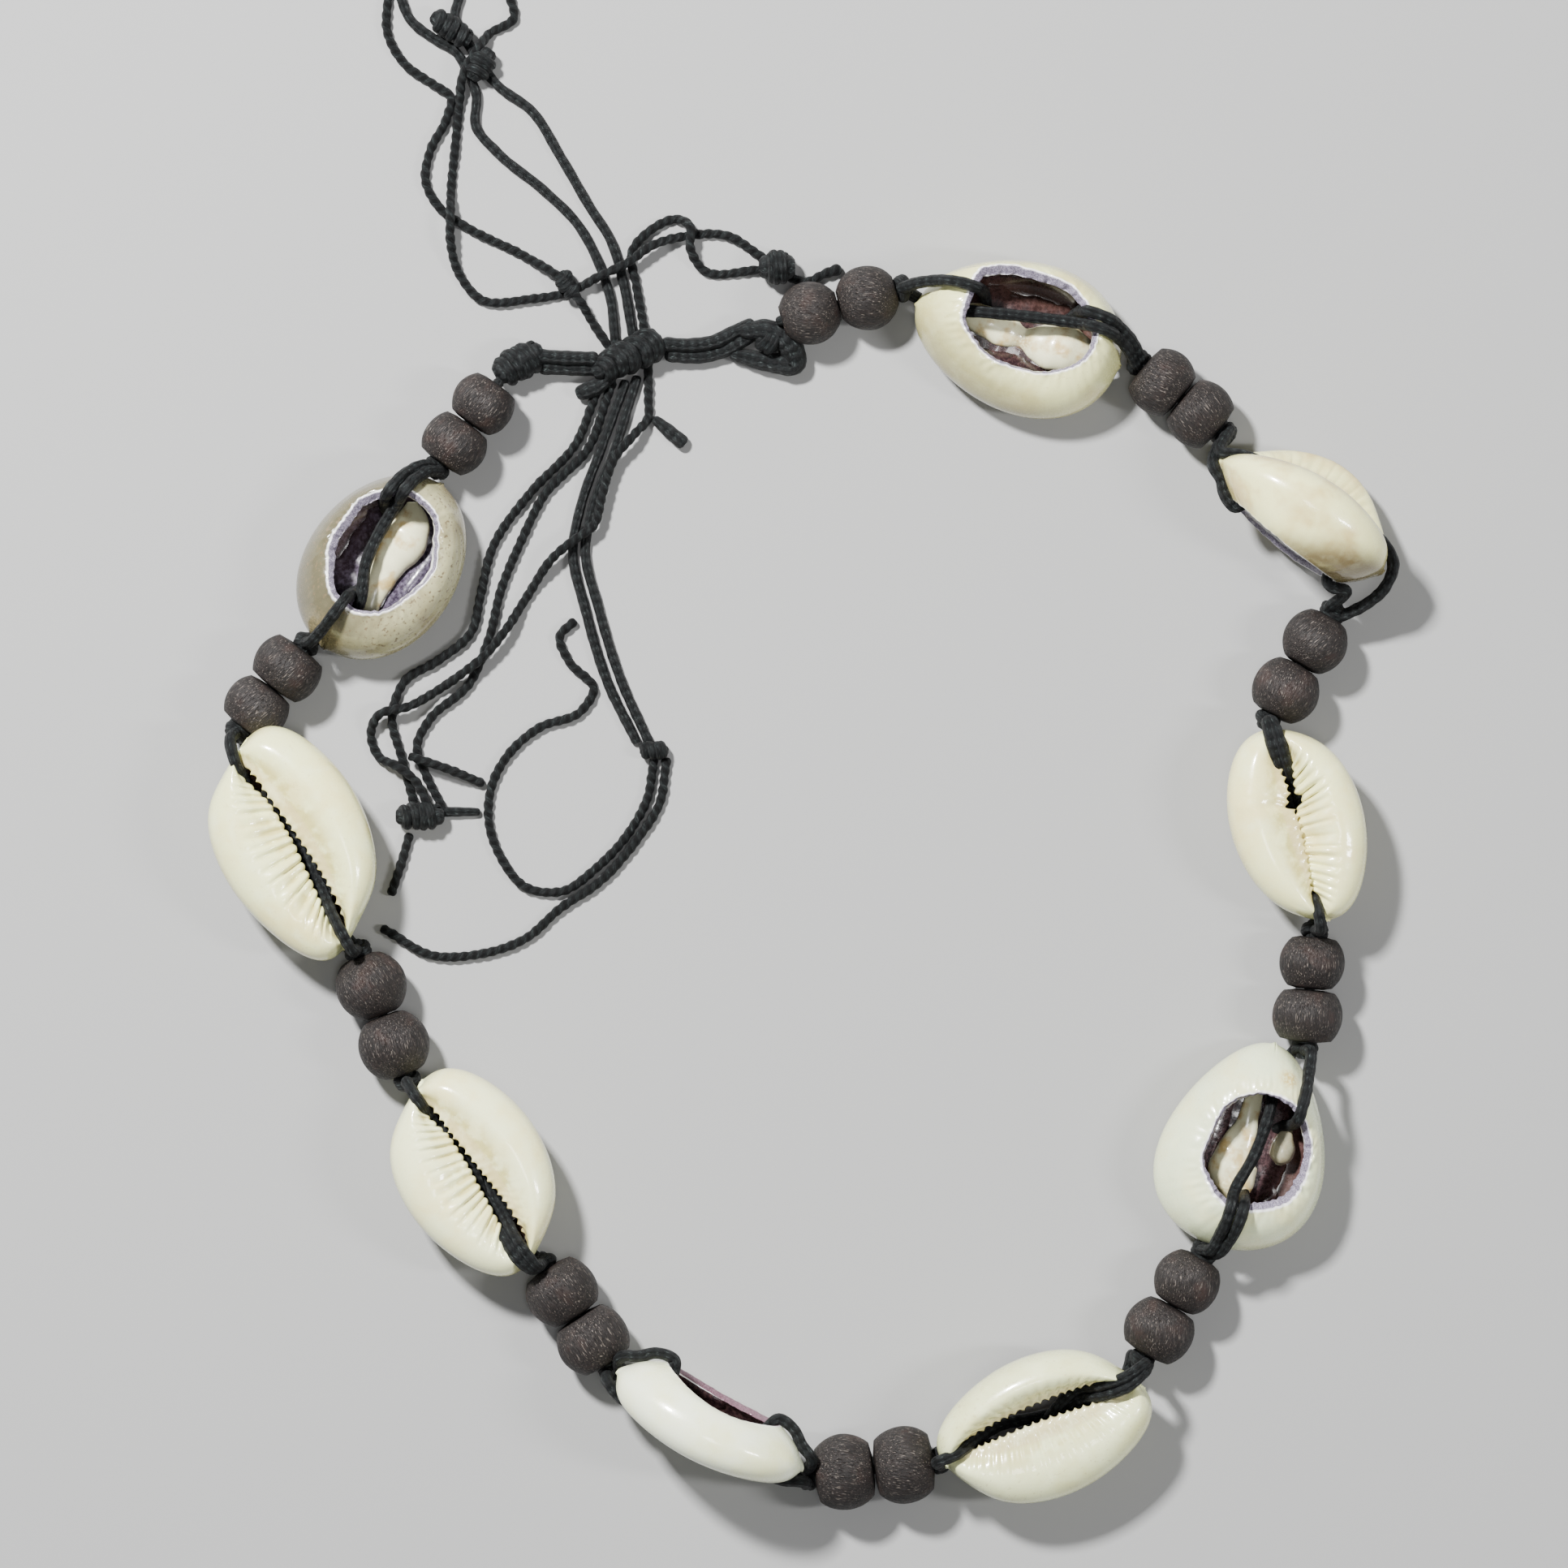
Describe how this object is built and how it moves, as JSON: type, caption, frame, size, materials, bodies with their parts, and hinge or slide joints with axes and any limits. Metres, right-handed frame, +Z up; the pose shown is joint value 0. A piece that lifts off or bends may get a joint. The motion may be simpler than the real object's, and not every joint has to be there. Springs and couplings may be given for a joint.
{
  "type": "cowrie shell necklace",
  "caption": "Necklace of cut cowrie shells with pairs of wooden beads on a doubled waxed cord, closed by a sliding knot, lying flat.",
  "frame": {"origin": "on the surface that it lies on, at the middle of the box of the shells, beads and closure", "axes": "+Z up from the surface, +Y from the wearer's front towards the closure, +X to the right as seen from above"},
  "size_m": [0.1419, 0.1798, 0.0171],
  "materials": {
    "shell": "glossy natural shell",
    "wood": "matte dark wood with a fine grain",
    "cord": "waxed braided cord"
  },
  "bodies": {
    "root": {"shell_1": "shell", "shell_2": "shell", "shell_3": "shell", "shell_4": "shell", "shell_5": "shell", "shell_6": "shell", "shell_7": "shell", "shell_8": "shell", "shell_9": "shell", "bead_1": "wood", "bead_2": "wood", "bead_3": "wood", "bead_4": "wood", "bead_5": "wood", "bead_6": "wood", "bead_7": "wood", "bead_8": "wood", "bead_9": "wood", "bead_10": "wood", "bead_11": "wood", "bead_12": "wood", "bead_13": "wood", "bead_14": "wood", "bead_15": "wood", "bead_16": "wood", "bead_17": "wood", "bead_18": "wood", "bead_19": "wood", "bead_20": "wood", "thread_1": "cord", "thread_2": "cord", "thread_3": "cord", "thread_4": "cord", "thread_5": "cord", "thread_6": "cord", "thread_7": "cord", "thread_8": "cord", "thread_9": "cord", "thread_10": "cord", "shell_cord_1": "cord", "shell_cord_2": "cord", "shell_cord_3": "cord", "shell_cord_4": "cord", "shell_cord_5": "cord", "shell_cord_6": "cord", "shell_cord_7": "cord", "shell_cord_8": "cord", "shell_cord_9": "cord", "barrel_knot": "cord", "sliding_knot": "cord", "right_knot": "cord", "closure_cord_left": "cord", "closure_cord_right": "cord", "tie_outer": "cord", "tie_inner": "cord", "tie_right": "cord", "tie_left_pair": "cord", "tie_middle": "cord", "tie_arc": "cord", "tie_knots": "cord"}
  },
  "joints": []
}
